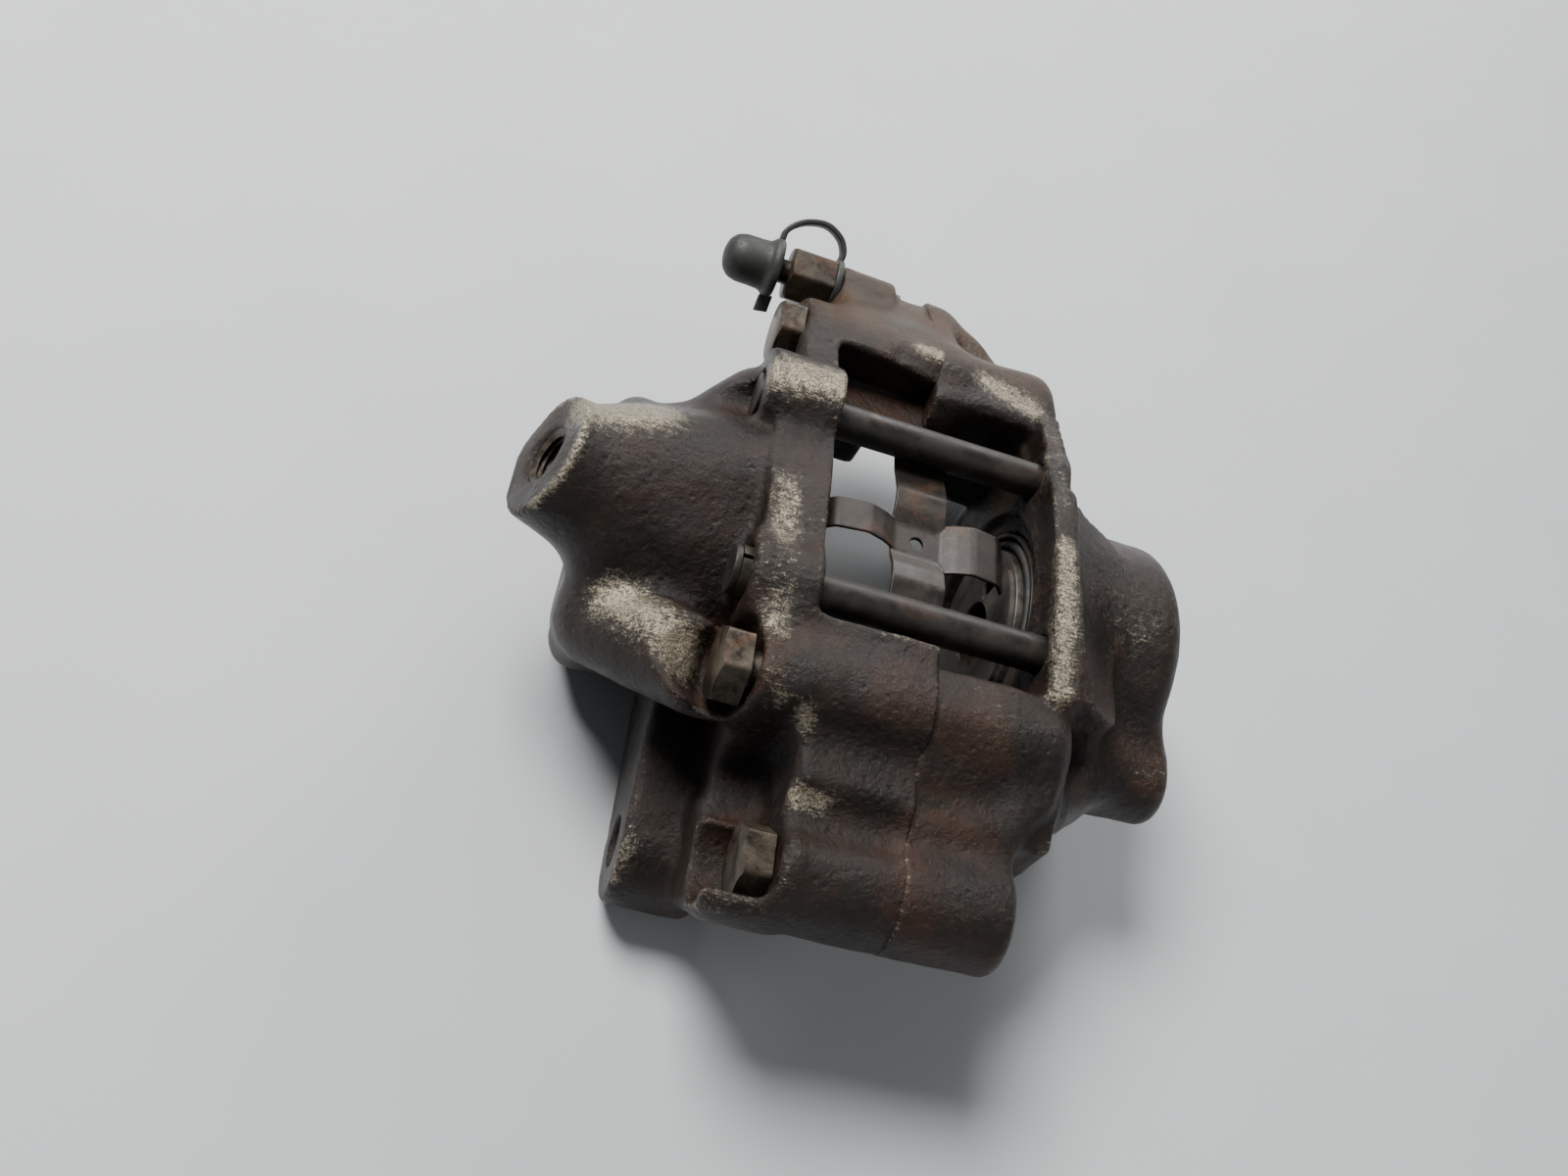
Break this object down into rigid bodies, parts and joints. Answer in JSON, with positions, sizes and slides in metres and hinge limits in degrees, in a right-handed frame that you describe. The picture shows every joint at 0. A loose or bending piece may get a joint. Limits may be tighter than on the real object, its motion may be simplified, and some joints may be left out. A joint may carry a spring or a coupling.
{
  "type": "fixed disc-brake caliper",
  "caption": "Two-piston fixed disc-brake caliper: bolted cast halves over a disc gap, pad window with pins and spring, bleed screw, hose port and mounting lugs.",
  "frame": {"origin": "where the pistons' axis meets the middle plane of the disc", "axes": "+X along the disc's axis, outboard; +Y along the pads, towards the bleed screw; +Z radially outward, away from the wheel's centre"},
  "size_m": [0.1516, 0.1753, 0.0715],
  "materials": {
    "casting": "rough sand casting, rusty brown, with worn bright edges",
    "bolt_steel": "dark rusty steel with worn flats",
    "piston_steel": "ground and hard plated, slightly stained",
    "plated_steel": "dull zinc plate gone yellow-brown",
    "sheet_steel": "thin stained sheet",
    "pin_steel": "dark grey, smooth, lightly pitted",
    "spring_steel": "dark blued sheet with brown stain",
    "seal_rubber": "smooth black",
    "boot_rubber": "matte black with dust",
    "cap_rubber": "matte grey-green, dusty"
  },
  "bodies": {
    "housing": {"inboard_housing": "casting", "outboard_housing": "casting", "bridge_bolts": "bolt_steel", "transfer_seals": "seal_rubber", "inboard_piston_seal": "seal_rubber", "outboard_piston_seal": "seal_rubber", "inboard_dust_boot": "boot_rubber", "outboard_dust_boot": "boot_rubber", "inboard_boot_ring": "plated_steel", "outboard_boot_ring": "plated_steel", "cross_spring": "spring_steel", "cap_strap": "cap_rubber"},
    "inboard_piston": {"inboard_piston": "piston_steel", "inboard_heat_shield": "sheet_steel"},
    "outboard_piston": {"outboard_piston": "piston_steel", "outboard_heat_shield": "sheet_steel"},
    "pad_pin_upper": {"pad_pin_upper": "pin_steel", "pin_sleeve_upper": "plated_steel"},
    "pad_pin_lower": {"pad_pin_lower": "pin_steel", "pin_sleeve_lower": "plated_steel"},
    "bleed_screw": {"bleed_screw": "bolt_steel"},
    "bleeder_cap": {"bleeder_cap": "cap_rubber"}
  },
  "joints": [
    {"name": "inboard_piston_slide", "type": "slide", "parent": "housing", "child": "inboard_piston", "axis": [1, 0, 0], "range_m": [0, 0.014], "deforming": ["inboard_dust_boot"]},
    {"name": "outboard_piston_slide", "type": "slide", "parent": "housing", "child": "outboard_piston", "axis": [-1, 0, 0], "range_m": [0, 0.014], "deforming": ["outboard_dust_boot"]},
    {"name": "upper_pin_slide", "type": "slide", "parent": "housing", "child": "pad_pin_upper", "axis": [-1, 0, 0], "range_m": [0, 0.08]},
    {"name": "lower_pin_slide", "type": "slide", "parent": "housing", "child": "pad_pin_lower", "axis": [-1, 0, 0], "range_m": [0, 0.08]},
    {"name": "bleed_turn", "type": "hinge", "parent": "housing", "child": "bleed_screw", "pos_m": [-0.024, 0.078, 0.0195], "axis": [-1, 0, 0], "range_deg": [0, 270]},
    {"name": "cap_pull", "type": "slide", "parent": "housing", "child": "bleeder_cap", "axis": [-1, 0, 0], "range_m": [0, 0.012]}
  ],
  "couplings": [
    {"joint": "outboard_piston_slide", "follows": "inboard_piston_slide", "ratio": 1}
  ]
}
